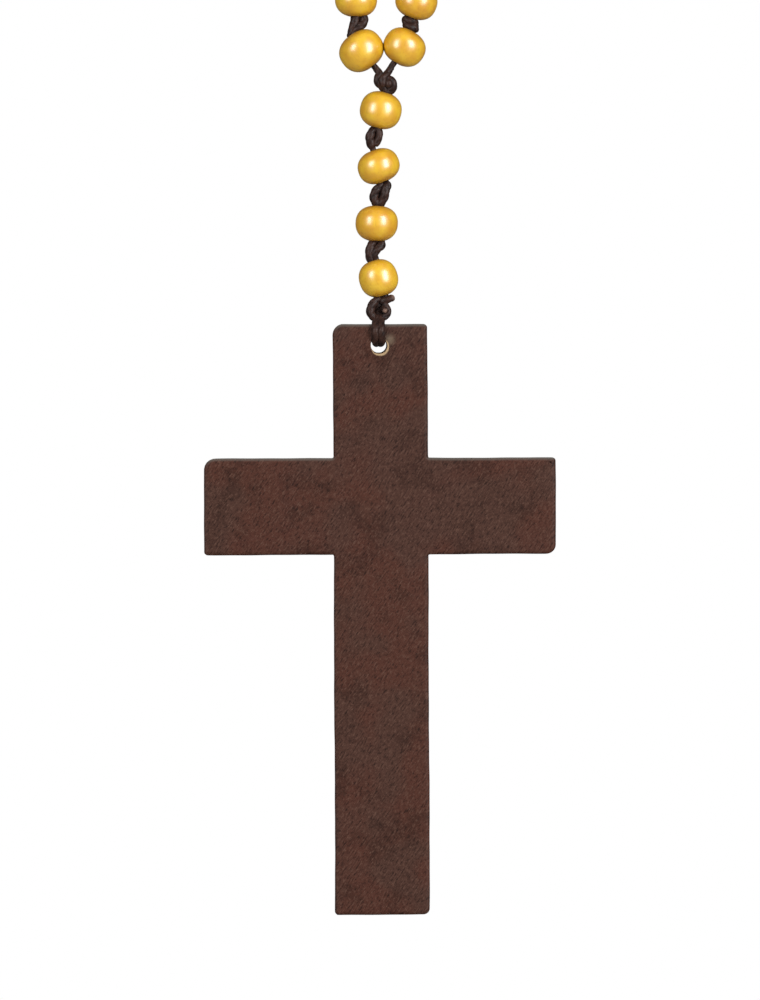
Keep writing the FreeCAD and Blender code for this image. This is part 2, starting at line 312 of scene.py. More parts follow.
def linked(name: str, data: bpy.types.ID) -> bpy.types.Object:
    """A new object, put in the scene."""
    made = bpy.data.objects.new(name, data)
    bpy.context.scene.collection.objects.link(made)
    return made


def piece_from(
    name: str, mesh: bpy.types.Mesh, body: str, finish: bpy.types.Material,
    stands_for: Sequence[str] = (),
) -> bpy.types.Object:
    """Put a finished mesh in the scene as a piece of the rosary.

    Args:
        name: The piece's name.
        mesh: Its mesh, in place.
        body: The body that it rides on.
        finish: Its material.
        stands_for: The CAD nodes that it replaces.

    Returns:
        The new object.
    """
    made = linked(name, mesh)
    mesh.materials.append(finish)
    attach(made, body)
    if stands_for:
        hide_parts(*stands_for)
    LOG.info("%s: %d faces", name, len(mesh.polygons))
    return made


def node_points(name: str) -> Array:
    """The corner points of a CAD node's mesh."""
    mesh = frame["nodes"][name].data
    flat = np.zeros(len(mesh.vertices) * 3)
    mesh.vertices.foreach_get("co", flat)
    return flat.reshape(-1, 3)


@dataclass(frozen=True)
class CordTube:
    """A laid cord: a round tube with three plies that wind round it.

    Attributes:
        thickness: Its outside diameter.
        plies: How many plies show.
        ply_depth: How deep the grooves between plies are, as a share of the radius.
        lay: The length in which a ply goes once round.
        sides: Points round the tube.
    """

    thickness: float = CORD
    plies: int = 3
    ply_depth: float = 0.13
    lay: float = 4.6
    sides: int = 24

    def skin(self, line: Array, swell: Array | float = 1.0, cut: float = 0.0) -> Skin:
        """Sweep the cord along a line. A point at angle a and distance s is the radius times
        (1 - depth * (1 - |cos(plies / 2 * (a - 2 pi s / lay))|)) from the line, and the radius
        closes like a ball over the last half thickness of each end.

        Args:
            line: The points that it follows, in metres.
            swell: The radius times this, one number or one for each point.
            cut: How much of the last half thickness shows the cord's pale core, from 0 to 1.

        Returns:
            The tube's grid, with the height on the plies and the bared core as values.
        """
        walked = lengths_along(line)
        total = walked[-1]
        radius = self.thickness / 2 * MM * np.broadcast_to(swell, walked.shape)
        _, side, up = frames_along(line)
        angle = np.linspace(0, 2 * math.pi, self.sides, endpoint=False)[None]
        turned = self.plies / 2 * (angle - 2 * math.pi * walked[:, None] / (self.lay * MM))
        reach = radius[:, None] * (1 - self.ply_depth * (1 - np.abs(np.cos(turned))) ** 1.5)
        left = np.clip(np.minimum(walked, total - walked) / radius, 0, 1)
        reach = reach * np.sqrt(np.maximum(0, 1 - (1 - left) ** 2))[:, None]
        points = (
            line[:, None]
            + reach[..., None] * np.cos(angle)[..., None] * side[:, None]
            + reach[..., None] * np.sin(angle)[..., None] * up[:, None]
        )
        core = cut * np.clip(1 - (total - walked) / radius, 0, 1)
        values = {
            "ply": np.abs(np.cos(turned)),
            "core": np.repeat(core[:, None], self.sides, axis=1),
        }
        return Skin(points, values=values)


# ---------------------------------------------------------------- finishes


@dataclass
class Nodes:
    """The nodes of a material or of the surroundings.

    Attributes:
        owner: The material or the world; the nodes that it comes with are cleared.
    """

    owner: bpy.types.ID

    def __post_init__(self) -> None:
        """Clear the owner's nodes."""
        self.owner.use_nodes = True
        self.owner.node_tree.nodes.clear()

    def add(
        self, kind: str, links: dict[str | int, object] | None = None, **settings: object
    ) -> bpy.types.Node:
        """Add a node, with its settings, and link or set its sockets.

        Args:
            kind: The node's type.
            links: Socket name or number to the value or the output socket that it gets.
            settings: The node's own properties.

        Returns:
            The node.
        """
        made = self.owner.node_tree.nodes.new(kind)
        for key, value in settings.items():
            setattr(made, key, value)
        for key, value in (links or {}).items():
            if isinstance(value, Socket):
                self.owner.node_tree.links.new(value, made.inputs[key])
            else:
                made.inputs[key].default_value = value
        return made

    def value_of(self, name: str) -> Socket:
        """The mesh's own value of this name."""
        return self.add("ShaderNodeAttribute", attribute_name=name).outputs["Fac"]

    def noise(
        self, where: Socket, size: float | tuple[float, float, float],
        detail: float, rough: float = 0.5, slant: float = 0.0,
    ) -> Socket:
        """A noise whose blotches are about so many millimetres wide.

        Args:
            where: The coordinates.
            size: The blotches' width, or their widths along x, y and z.
            detail: How many finer noises lie on it.
            rough: How strong the finer ones are.
            slant: The turn of long blotches about y, in radians.

        Returns:
            The noise's value.
        """
        if isinstance(size, tuple):
            widths = tuple(width * MM for width in size)
            where = self.add(
                "ShaderNodeMapping",
                {"Vector": where, "Rotation": (0.0, slant, 0.0), "Scale": widths},
                vector_type="TEXTURE",
            ).outputs[0]
        scale = 1.0 if isinstance(size, tuple) else 1 / (size * MM)
        settings = {"Vector": where, "Scale": scale, "Detail": detail, "Roughness": rough}
        return self.add("ShaderNodeTexNoise", settings).outputs[0]

    def over(
        self, mask: Socket, limits: tuple[float, float, float],
        under: Socket | str, colour: str, ease: str = "SMOOTHSTEP",
    ) -> Socket:
        """Lay one colour over another.

        Args:
            mask: The value that says where.
            limits: The value where the colour begins, where it is whole, and its greatest share.
            under: The colour below, as a socket or as hex.
            colour: The colour laid over it, as hex.
            ease: How its share grows between the limits.

        Returns:
            The mixed colour's socket.
        """
        share = self.add(
            "ShaderNodeMapRange",
            {"Value": mask, "From Min": limits[0], "From Max": limits[1], "To Max": limits[2]},
            interpolation_type=ease,
        )
        below = under if isinstance(under, Socket) else linear(under)
        mixed = self.add(
            "ShaderNodeMix",
            {"Factor": share.outputs[0], "A": below, "B": linear(colour)}, data_type="RGBA",
        )
        return mixed.outputs[2]

    def bumped(self, height: Socket, strength: float, rise: float) -> Socket:
        """The surface's direction where a value raises it by so many millimetres."""
        settings = {"Height": height, "Strength": strength, "Distance": rise * MM}
        return self.add("ShaderNodeBump", settings).outputs[0]

    def shaded(self, colour: object, roughness: float, **more: object) -> None:
        """End a material in the principled shader.

        Args:
            colour: The base colour, as a socket or in linear light.
            roughness: The surface's roughness.
            more: The shader's other sockets, with _ for a space.
        """
        sockets = {key.replace("_", " "): value for key, value in more.items()}
        sockets |= {"Base Color": colour, "Roughness": roughness}
        shader = self.add("ShaderNodeBsdfPrincipled", sockets)
        self.add("ShaderNodeOutputMaterial", {"Surface": shader.outputs[0]})


@dataclass(frozen=True)
class LacqueredBead:
    """Small-turned lotus wood, dyed golden yellow and tumbled in clear lacquer. The eye gets a
    warm, slightly blotched yellow, browner at the bores, under a soft glossy skin."""

    pale: str = "C69E1C"
    deep: str = "B5800E"
    mouth: str = "A0680C"
    pore: str = "7A500C"
    fibre_width: float = 0.22
    fibre_length: float = 2.6
    blotch: float = 2.2
    roughness: float = 0.42
    coat_roughness: float = 0.33
    coat_ior: float = 1.82

    def material(self) -> bpy.types.Material:
        """Build the node material on the bead's own coordinates."""
        nodes = Nodes(bpy.data.materials.new("lacquered_bead"))
        own = nodes.add("ShaderNodeAttribute", attribute_name="own_place").outputs["Vector"]
        blotches = nodes.noise(own, self.blotch, 3.0)
        fibres = nodes.noise(own, (self.fibre_width, self.fibre_width, self.fibre_length), 2.0)
        values = {0: blotches, 1: nodes.value_of("tint")}
        tone = nodes.add("ShaderNodeMath", values, operation="ADD").outputs[0]
        coloured = nodes.over(tone, (0.32, 0.72, 1.0), self.pale, self.deep, "LINEAR")
        coloured = nodes.over(fibres, (0.56, 0.78, 0.32), coloured, self.pore, "LINEAR")
        coloured = nodes.over(nodes.value_of("to_mouth"), (0.62, 1.0, 0.6), coloured, self.mouth)
        nodes.shaded(
            coloured, self.roughness, IOR=1.48, Specular_IOR_Level=0.2, Coat_Weight=1.0,
            Coat_Roughness=self.coat_roughness, Coat_IOR=self.coat_ior,
            Coat_Normal=nodes.bumped(blotches, 0.25, 0.1),
        )
        return nodes.owner


@dataclass(frozen=True)
class WaxedCord:
    """Dark brown cotton, laid in three plies and drawn through wax. The eye gets nearly black
    painted shade in the grooves between the plies, red-brown blotches of the crown colour and a
    dull waxy glint."""

    crown: str = "35211A"
    body: str = "22130F"
    groove_shade: str = "0E0706"
    core: str = "6E564A"
    fibre: float = 0.16
    wax: float = 1.4
    roughness: float = 0.46

    def material(self) -> bpy.types.Material:
        """Build the node material on object coordinates and the cord's own values."""
        nodes = Nodes(bpy.data.materials.new("waxed_cord"))
        where = nodes.add("ShaderNodeTexCoord").outputs["Object"]
        # Painted shade: nearly black in the grooves between the plies, fading to the body colour
        # on the plies; the blotches and the cut core lie over it.
        layers = (
            (nodes.value_of("ply"), (0.0, 0.55, 1.0), self.body),
            (nodes.noise(where, self.wax, 2.0), (0.42, 0.68, 0.9), self.crown),
            (nodes.value_of("core"), (0.0, 1.0, 1.0), self.core),
        )
        coloured = self.groove_shade
        for mask, limits, colour in layers:
            coloured = nodes.over(mask, limits, coloured, colour, "LINEAR")
        fibres = nodes.noise(where, self.fibre, 3.0)
        nodes.shaded(
            coloured, self.roughness, Normal=nodes.bumped(fibres, 0.55, 0.08),
            Sheen_Weight=0.05, Sheen_Roughness=0.4, Specular_IOR_Level=0.2,
        )
        return nodes.owner


@dataclass(frozen=True)
class StainedBoard:
    """A sawn and sanded hardwood board under a thin dark stain. The eye gets a satin brown that
    wanders between red and grey in soft blotches, a fine speckle with short slanting flecks, a
    painted grey highlight along the upper edges, bare pale wood where the cord has worn the hole,
    and painted shade on the hole's mouth at its lower right.

    Attributes:
        ragged: How far the blotches push the edges of the worn places and the painted shade
        about, in millimetres.
    """

    red: str = "3D221A"
    grey: str = "39241D"
    dark: str = "27150F"
    fleck: str = "4B352C"
    pore: str = "170B08"
    bare: str = "A18969"
    worn: str = "695C4C"
    edge_highlight: str = "4D4944"
    fleck_slant: float = math.radians(34.0)
    fleck_width: float = 0.28
    fleck_length: float = 1.3
    speckle: float = 0.42
    blotch: float = 5.5
    cloud: float = 16.0
    ragged: float = 1.2
    roughness: float = 0.52

    def material(self, hole: Array) -> bpy.types.Material:
        """Build the node material on object coordinates.

        Args:
            hole: The middle of the hanging hole, in metres.

        Returns:
            The material.
        """
        nodes = Nodes(bpy.data.materials.new("stained_board"))
        where = nodes.add("ShaderNodeTexCoord").outputs["Object"]
        sizes = (self.fleck_width, 1.0, self.fleck_length)
        flecks = nodes.noise(where, sizes, 2.0, 0.55, self.fleck_slant)
        specks, blotches, clouds = (
            nodes.noise(where, size, detail, 0.6)
            for size, detail in ((self.speckle, 2.0), (self.blotch, 5.0), (self.cloud, 2.0))
        )
        layers = [
            (clouds, (0.42, 0.58, 1.0), self.grey), (blotches, (0.48, 0.66, 0.55), self.dark),
            (flecks, (0.53, 0.72, 0.8), self.fleck), (specks, (0.54, 0.75, 0.7), self.fleck),
            (specks, (0.46, 0.28, 0.45), self.pore), (flecks, (0.47, 0.3, 0.8), self.pore),
            # Painted grey highlight along the upper rounded edges.
            (nodes.value_of("rim_highlight"), (0.1, 0.9, 0.85), self.edge_highlight),
        ]
        upright = {0: where, 1: (1.0, 0.0, 1.0)}
        flat = nodes.add("ShaderNodeVectorMath", upright, operation="MULTIPLY").outputs[0]
        # Worn places, and last a painted shade on the hole's mouth: middle from the hole's, radius
        # of the whole and the fading colour, share.
        wear_and_shade_spots = (
            ((2.1, 1.0), 0.2, 1.75, self.worn, 0.5),
            ((0.38, -0.42), 1.76, 2.0, self.bare, 0.75),
            # Painted shade on the hole's wall and mouth at its lower right, in the pore colour.
            ((0.24, -0.22), 1.66, 1.8, self.pore, 1.0),
        )
        for (x, z), whole, none, colour, most in wear_and_shade_spots:
            spot = (float(hole[0] + x * MM), 0.0, float(hole[2] + z * MM))
            away = nodes.add("ShaderNodeVectorMath", {0: flat, 1: spot}, operation="DISTANCE")
            torn = nodes.add(
                "ShaderNodeMath",
                {0: blotches, 1: self.ragged * MM, 2: away.outputs["Value"]},
                operation="MULTIPLY_ADD",
            ).outputs[0]
            push = self.ragged / 2
            layers.append((torn, ((none + push) * MM, (whole + push) * MM, most), colour))
        coloured = self.red
        for mask, limits, colour in layers:
            coloured = nodes.over(mask, limits, coloured, colour)
        grain = nodes.bumped(specks, 0.4, 0.12)
        nodes.shaded(coloured, self.roughness, Normal=grain, Specular_IOR_Level=0.1)
        return nodes.owner


@dataclass(frozen=True)
class PaperFloor:
    """Matt white paper under the object. The eye gets an even, faintly warm white."""

    colour: str = "C4C2BE"
    roughness: float = 0.9

    def material(self) -> bpy.types.Material:
        """Build the plain material."""
        nodes = Nodes(bpy.data.materials.new("paper_floor"))
        nodes.shaded(linear(self.colour), self.roughness)
        return nodes.owner


# ---------------------------------------------------------------- beads


@dataclass(frozen=True)
class BeadPlace:
    """Where a bead is and how large, measured on its CAD solid.

    Attributes:
        centre: Its middle, in metres.
        axis: The direction of its bore, upwards along the cord.
        diameter: Its width across the bore, in metres.
        length: Its length along the bore, in metres.
    """

    centre: Array
    axis: Array
    diameter: float
    length: float

    @classmethod
    def measured(cls, points: Array, centre: Array, axis: Array) -> BeadPlace:
        """Measure a bead from the corner points of its solid.

        Args:
            points: The solid's points.
            centre: Its middle.
            axis: The direction of its bore.

        Returns:
            The bead's place.
        """
        axis = unit(np.asarray(axis, float))
        off = points - centre
        along = off @ axis
        across = np.linalg.norm(off - along[:, None] * axis, axis=1)
        return cls(centre, axis, 2 * float(across.max()), float(np.ptp(along)))

    def mouth(self, end: int) -> Array:
        """The middle of the bore's upper (1) or lower (-1) mouth."""
        return self.centre + end * self.axis * self.length / 2


Seat = tuple[float, float, float, float]
CENTRED: Seat = (0.0, 0.0, 1.0, 1.0)


@dataclass
class Beads:
    """The turned beads; their sizes are in millimetres.

    Attributes:
        finish: The lacquered wood.
        bore: The bore's diameter.
        mouth: The diameter at which the rounding ends and the bore begins.
        fullness: The outline's exponent: 2 is an ellipse, and more is squarer.
        around: Points round a bead.
        belly: How far off the middle the widest place may be, as a share of half the length.
        oval: How far the round is out of true, two and three times round, as shares.
        skew: How far it may be out of square with the bore, as a share.
        tint: How much lighter or darker a bead may be.
        seats: Beads that are a little larger or sit a little off their cord: how far right and
            up in millimetres, and their width and length as shares of the solid's.
    """

    finish: bpy.types.Material
    bore: float = 1.8
    mouth: float = 2.5
    fullness: float = 2.3
    around: int = 80
    belly: float = 0.05
    oval: tuple[float, float] = (0.012, 0.004)
    skew: float = 0.02
    tint: float = 0.08
    seats: dict[str, Seat] = field(
        default_factory=lambda: {
            "left_bead_01": (-0.08, -0.08, 1.035, 1.03),
            "right_bead_01": (0.08, -0.05, 1.03, 1.02),
            "left_bead_02": (0.12, 0.05, 1.0, 1.0),
            "right_bead_02": (-0.03, -0.02, 1.03, 1.0),
            "pendant_bead_1": (0.12, 0.0, 1.0, 1.0),
            "pendant_bead_2": (-0.16, -0.2, 1.01, 1.0),
            "pendant_bead_3": (-0.19, -0.03, 1.03, 1.02),
            "pendant_bead_4": (-0.34, 0.17, 1.0, 1.0),
        }
    )

    def outline(self, a: float, b: float, bulge: float) -> tuple[Array, Array]:
        """A bead's outline, from the lower mouth over the belly, and down the bore. It is a
        superellipse, |r / a|^n + |z / b|^n = 1, and a quarter round turns it into the bore.

        Args:
            a: Half the width, in metres.
            b: Half the length.
            bulge: How far the belly sits above the middle, as a share of b.

        Returns:
            The distance from the bore's middle line and the height of each point.
        """
        n, bore, lip = self.fullness, self.bore / 2 * MM, (self.mouth - self.bore) / 2 * MM
        over_bore = (1 - ((bore + lip) / a) ** n) ** (1 / n)
        height = over_bore * np.sin(np.linspace(-1, 1, 41) * math.pi / 2)
        r = a * (1 - np.abs(height) ** n) ** (1 / n)
        z = b * height / over_bore
        z = z + bulge * b * (1 - (z / b) ** 2)
        turn = np.linspace(0.12, 1, 7) * math.pi / 2
        lip_r = bore + lip * (1 - np.sin(turn))
        lip_z = b - lip * 0.6 * (1 - np.cos(turn))
        wall = np.linspace(1, -1, 9)[1:-1] * (b - lip)
        r = np.concatenate([r, lip_r, np.full(len(wall), bore), lip_r[::-1]])
        return r, np.concatenate([z, lip_z, wall, -lip_z[::-1]])

    def skin(self, spot: BeadPlace, seed: int, seat: Seat = CENTRED) -> Skin:
        """Turn one bead, a few hundredths out of true, as lathe-turned beads are.

        Args:
            spot: Where the bead is.
            seed: A number that picks its small faults.
            seat: Its row of seats.

        Returns:
            The bead's closed grid, with its own coordinates as values.
        """
        chance = np.random.default_rng(seed)
        right, up, wide, long = seat
        b = spot.length / 2 * long
        r, z = self.outline(spot.diameter / 2 * wide, b, chance.uniform(-self.belly, self.belly))
        angle = np.linspace(0, 2 * math.pi, self.around, endpoint=False)
        wobble = 1.0 + sum(
            share * np.cos(times * angle + chance.uniform(0, 6))
            for times, share in enumerate(self.oval, start=2)
        )
        skew = chance.uniform(-self.skew, self.skew) * np.cos(angle + chance.uniform(0, 6))
        outside = (r > self.bore / 2 * MM * 1.02)[:, None]
        radial = r[:, None] * np.where(outside, wobble[None], 1.0)
        level = z[:, None] + np.where(outside, skew[None] * r[:, None], 0.0)
        helper = FRONT if abs(spot.axis[1]) < 0.9 else np.array([1.0, 0.0, 0.0])
        side = unit(np.cross(helper, spot.axis))
        front = np.cross(spot.axis, side)
        own = np.stack([radial * np.cos(angle), radial * np.sin(angle), level], axis=-1)
        centre = spot.centre + np.array([right, 0.0, up]) * MM
        points = centre + own[..., :1] * side + own[..., 1:2] * front + own[..., 2:] * spot.axis
        values = {
            "own_place": own + chance.uniform(-1, 1, 3),
            "tint": np.full(radial.shape, chance.uniform(-self.tint, self.tint)),
            "to_mouth": np.abs(level) / b,
        }
        return Skin(points, closed=True, values=values)

    def build(self, spots: dict[str, BeadPlace]) -> None:
        """Make every bead that turns on its own as a piece of its own.

        Args:
            spots: The name of its node and its body to its place.
        """
        for number, (name, spot) in enumerate(sorted(spots.items())):
            skin = self.skin(spot, number, self.seats.get(name, CENTRED))
            mesh = mesh_from(f"{name}_turned", [skin])
            piece_from(f"{name}_turned", mesh, name, self.finish, [name])

    def build_group(self, name: str, spots: Sequence[BeadPlace], body: str) -> None:
        """Make the beads that lie over the support as one piece."""
        skins = [self.skin(spot, seed) for seed, spot in enumerate(spots, start=500)]
        piece_from(f"{name}_turned", mesh_from(name, skins), body, self.finish, [name])


# ---------------------------------------------------------------- knots


Strand = tuple[tuple[float, float, float, float], ...]
KNOT_STEP = 0.13 * MM  # the distance between rings of a knot's passes
CORD_STEP = 0.25 * MM  # the same for the straight cords
SMOOTHED = 9  # rings over which a pass's fatness is evened out


@dataclass(frozen=True)
class TiedKnot:
    """A knot drawn so tight that its passes press into one lump.

    Attributes:
        strands: Its passes, each as (x, height, depth, fatness), where the fatness is the pass's
            thickness in cords.
        lower: The mouth of the bore below it, as (x, height).
        upper: The mouth of the bore above it.
        cuts: Numbers of the strands that end in a cut cord end.
    """

    strands: tuple[Strand, ...]
    lower: tuple[float, float] = (0.0, 0.0)
    upper: tuple[float, float] = (0.0, 0.0)
    cuts: tuple[int, ...] = ()

    def skins(
        self, cord: CordTube, gap: tuple[Array, Array] | None = None, roll: float = 0.0,
        flip: int = 1,
    ) -> list[Skin]:
        """The knot's tubes, where it was drawn or in another gap.

        Args:
            cord: The cord that it is tied in.
            gap: The lower and upper mouth of the other gap, in metres.
            roll: The turn about the gap's direction, in radians.
            flip: -1 for the knot upside down.

        Returns:
            One grid for each pass.
        """
        made = []
        even = np.full(SMOOTHED, 1 / SMOOTHED)
        for number, strand in enumerate(self.strands):
            drawn = np.array(strand)
            points = places(drawn[:, :3])
            if gap is not None:
                points = self.moved(points, gap, roll, flip)
            line = curved(points)
            stations = np.linspace(0, len(drawn) - 1, len(line))
            fat = np.interp(stations, np.arange(len(drawn)), drawn[:, 3])
            fine = spaced(line, KNOT_STEP)
            swell = np.interp(lengths_along(fine), lengths_along(line), fat)
            swell = np.convolve(np.pad(swell, SMOOTHED // 2, mode="edge"), even, mode="valid")
            made.append(cord.skin(fine, swell, 1.0 if number in self.cuts else 0.0))
        return made

    def moved(self, points: Array, gap: tuple[Array, Array], roll: float, flip: int) -> Array:
        """Points of the knot carried to another gap: the distance along the gap is scaled to the
        new gap, and the distances across it are turned.

        Args:
            points: The points, in metres.
            gap: The lower and upper mouth of the new gap.
            roll: The turn in radians.
            flip: -1 for the knot upside down.

        Returns:
            The new points.
        """
        start, end = at(*self.lower), at(*self.upper)
        along = unit(end - start)
        side = unit(np.cross(FRONT, along))
        off = points - (start + end) / 2
        share = flip * off @ along / np.linalg.norm(end - start)
        new = gap[1] - gap[0]
        ahead = unit(new)
        across = unit(np.cross(FRONT, ahead))
        through = np.cross(ahead, across)
        x = math.cos(roll) * (off @ side) - math.sin(roll) * (off @ FRONT)
        y = math.sin(roll) * (off @ side) + math.cos(roll) * (off @ FRONT)
        middle = (gap[0] + gap[1]) / 2
        return middle + share[:, None] * new + x[:, None] * across + y[:, None] * through


BELOW_FIRST = TiedKnot(
    (
        ((-0.65, -8.2, 0.0, 1.0), (-1.4, -9.3, -0.35, 1.35), (-1.78, -10.4, -0.4, 1.45),
         (-1.55, -11.6, -0.2, 1.45), (-1.25, -12.7, 0.0, 1.25)),
        ((-0.5, -8.2, -0.1, 1.0), (0.02, -9.05, -0.5, 1.1), (0.08, -10.1, -0.55, 1.1),
         (-0.3, -11.1, -0.4, 1.15), (-0.8, -12.1, -0.2, 1.1)),
        ((-0.6, -8.6, 0.3, 1.1), (-0.6, -9.6, 0.8, 1.4), (-0.9, -10.7, 0.8, 1.45),
         (-1.2, -12.0, 0.3, 1.1)),
    ),
    lower=(-1.22, -12.4), upper=(-0.75, -8.5),
)
BELOW_SECOND = TiedKnot(
    (
        ((1.0, -18.9, 0.1, 1.0), (0.15, -19.8, -0.3, 1.25), (-0.68, -20.8, -0.35, 1.4),
         (-0.98, -21.9, -0.3, 1.45), (-0.68, -22.9, -0.2, 1.4), (-0.2, -23.9, 0.0, 1.1)),
        ((1.35, -18.9, 0.0, 1.05), (1.32, -19.9, -0.4, 1.35), (1.2, -21.0, -0.55, 1.45),
         (0.95, -22.1, -0.45, 1.4), (0.5, -23.0, -0.2, 1.25), (0.05, -23.9, 0.0, 1.1)),
        ((1.1, -18.9, -0.1, 0.9), (1.75, -19.3, -0.35, 0.92), (1.8, -20.0, -0.45, 0.92),
         (1.2, -20.8, -0.7, 0.9), (0.6, -21.6, -0.75, 0.9)),
        ((0.9, -19.7, 0.35, 1.0), (0.4, -20.6, 0.8, 1.4), (0.1, -22.0, 0.75, 1.4),
         (0.0, -23.3, 0.3, 1.1)),
    ),
    lower=(-0.05, -23.5), upper=(1.35, -19.0),
)
BELOW_THIRD = TiedKnot(
    (
        ((-0.8, -30.1, 0.0, 1.2), (-1.5, -31.3, -0.25, 1.4), (-1.8, -32.6, -0.35, 1.5),
         (-1.65, -33.8, -0.25, 1.45), (-1.2, -35.0, 0.0, 1.2)),
        ((0.35, -30.2, -0.1, 1.2), (0.53, -31.2, -0.45, 1.3), (-0.25, -32.0, -0.75, 1.25),
         (-0.85, -32.9, -0.75, 1.2), (-0.75, -33.7, -0.5, 1.1), (-0.2, -34.4, -0.2, 1.0)),
        ((-0.3, -30.3, 0.4, 1.3), (-0.7, -31.6, 0.8, 1.5), (-1.1, -33.0, 0.75, 1.4),
         (-0.9, -34.6, 0.2, 1.1)),
    ),
    lower=(-0.9, -34.3), upper=(-0.45, -30.5),
)
ABOVE_LEFT = TiedKnot(
    (
        ((-4.0, 13.9, 0.0, 1.1), (-4.52, 12.6, -0.3, 1.35), (-4.95, 11.2, -0.4, 1.35),
         (-5.3, 10.0, -0.3, 1.35), (-5.7, 8.7, 0.0, 1.2)),
        ((-3.5, 13.8, 0.0, 1.1), (-2.85, 12.7, -0.4, 1.3), (-3.1, 11.6, -0.7, 1.3),
         (-4.1, 10.8, -0.8, 1.2), (-4.9, 9.8, -0.6, 1.1), (-5.4, 8.8, -0.1, 1.0)),
        ((-3.9, 13.3, 0.4, 1.3), (-4.0, 12.0, 0.8, 1.5), (-4.6, 10.6, 0.7, 1.4),
         (-5.3, 9.0, 0.2, 1.1)),
    ),
)
ABOVE_RIGHT = TiedKnot(
    (
        ((4.7, 13.0, 0.1, 1.1), (5.4, 12.4, -0.5, 1.25), (6.4, 12.2, -0.7, 1.25),
         (7.0, 11.9, -0.2, 1.2), (7.1, 11.5, 0.5, 1.1)),
        ((5.1, 11.8, 0.3, 1.15), (5.4, 11.3, -0.45, 1.25), (6.3, 11.0, -0.75, 1.25),
         (7.0, 10.7, -0.35, 1.25), (7.15, 10.1, 0.2, 1.15)),
        ((5.4, 13.4, 0.2, 1.2), (5.95, 12.3, 0.4, 1.6), (6.3, 11.2, 0.4, 1.6),
         (6.7, 10.0, 0.1, 1.2)),
        ((4.95, 13.1, 0.1, 1.1), (5.2, 12.1, -0.25, 1.25), (5.5, 11.0, 0.0, 1.15)),
        ((6.6, 12.7, 0.1, 1.1), (6.85, 11.6, -0.3, 1.3), (7.1, 10.3, 0.0, 1.15)),
    ),
)
JOIN = TiedKnot(
    (
        ((-0.95, 3.5, 0.0, 1.05), (-0.22, 2.55, 0.0, 1.1), (0.08, 1.9, -0.2, 1.25),
         (-0.2, 1.1, -0.35, 1.4), (-0.05, 0.3, -0.4, 1.45), (0.65, -0.5, -0.3, 1.35),
         (1.15, -1.3, -0.1, 1.3), (1.2, -2.3, 0.0, 1.2)),
        ((2.65, 3.6, 0.0, 1.05), (1.95, 2.55, -0.1, 1.1), (1.35, 1.75, -0.55, 1.2),
         (0.8, 1.0, -0.95, 1.3), (0.75, 0.2, -1.05, 1.35), (1.3, -0.5, -0.9, 1.3)),
        ((1.1, 1.3, -0.3, 1.1), (2.0, 0.9, -0.5, 1.35), (2.65, 0.15, -0.55, 1.42),
         (2.6, -0.75, -0.35, 1.42), (2.0, -1.5, -0.15, 1.4), (1.5, -2.2, 0.0, 1.2)),
        ((0.3, 1.3, 0.5, 1.4), (1.1, 0.6, 0.8, 1.7), (1.8, -0.3, 0.7, 1.7),
         (1.5, -1.5, 0.2, 1.3)),
        ((1.5, 0.9, -0.8, 1.2), (1.9, 0.1, -1.0, 1.45), (1.75, -0.8, -0.8, 1.4)),
    )
)
KNOT_OVER_CROSS = TiedKnot(
    (
        ((1.3, -41.1, 0.0, 0.95), (0.7, -42.05, -0.6, 1.15), (1.8, -41.75, -0.75, 1.15),
         (3.05, -41.2, -0.6, 1.15)),
        ((0.5, -41.4, 0.1, 1.15), (-0.5, -41.9, -0.6, 1.25), (-1.35, -42.8, -0.95, 1.3),
         (-1.68, -44.1, -1.0, 1.4), (-1.2, -45.1, -1.0, 1.25), (-0.6, -45.6, -1.1, 1.1)),
        ((0.9, -42.2, -0.5, 1.0), (1.45, -43.1, -0.8, 0.95), (1.78, -44.2, -0.8, 1.1),
         (1.2, -45.1, -0.9, 1.05), (0.45, -45.6, -1.0, 1.0)),
        ((0.3, -41.7, 0.3, 1.2), (-0.1, -42.9, 0.5, 1.7), (-0.1, -44.4, 0.4, 1.7),
         (0.0, -45.3, -0.4, 1.2)),
        ((0.6, -42.0, 0.6, 1.2), (0.1, -43.0, 1.0, 1.7), (0.1, -44.5, 0.9, 1.6),
         (0.0, -45.4, 0.8, 1.2)),
        ((0.6, -43.1, -0.7, 0.9), (1.0, -43.7, -1.4, 0.9), (1.3, -44.2, -1.95, 0.85)),
    ),
    cuts=(0, 5),
)
KNOTS_BELOW = (BELOW_FIRST, BELOW_SECOND, BELOW_THIRD)

# The doubled cord through the hole: the x of its left and right pass, height, depth, fatness.
BIGHT_ROWS = (
    (-0.5, 0.4, -44.6, 0.0, 1.15), (-0.6, 0.4, -45.9, -1.0, 1.2),
    (-0.68, 0.42, -46.9, -2.2, 1.25), (-0.7, 0.46, -48.0, -2.7, 1.3),
    (-0.66, 0.5, -49.1, -2.15, 1.3), (-0.62, 0.48, -49.95, -1.1, 1.28),
    (-0.5, 0.26, -50.15, 1.3, 1.2), (-0.68, 0.44, -49.5, 2.45, 1.2),
    (-0.7, 0.46, -48.2, 2.7, 1.2), (-0.6, 0.4, -46.7, 2.1, 1.2), (-0.3, 0.3, -45.2, 0.9, 1.1),
)
BIGHT = TiedKnot(tuple(tuple((row[side], *row[2:]) for row in BIGHT_ROWS) for side in (0, 1)))


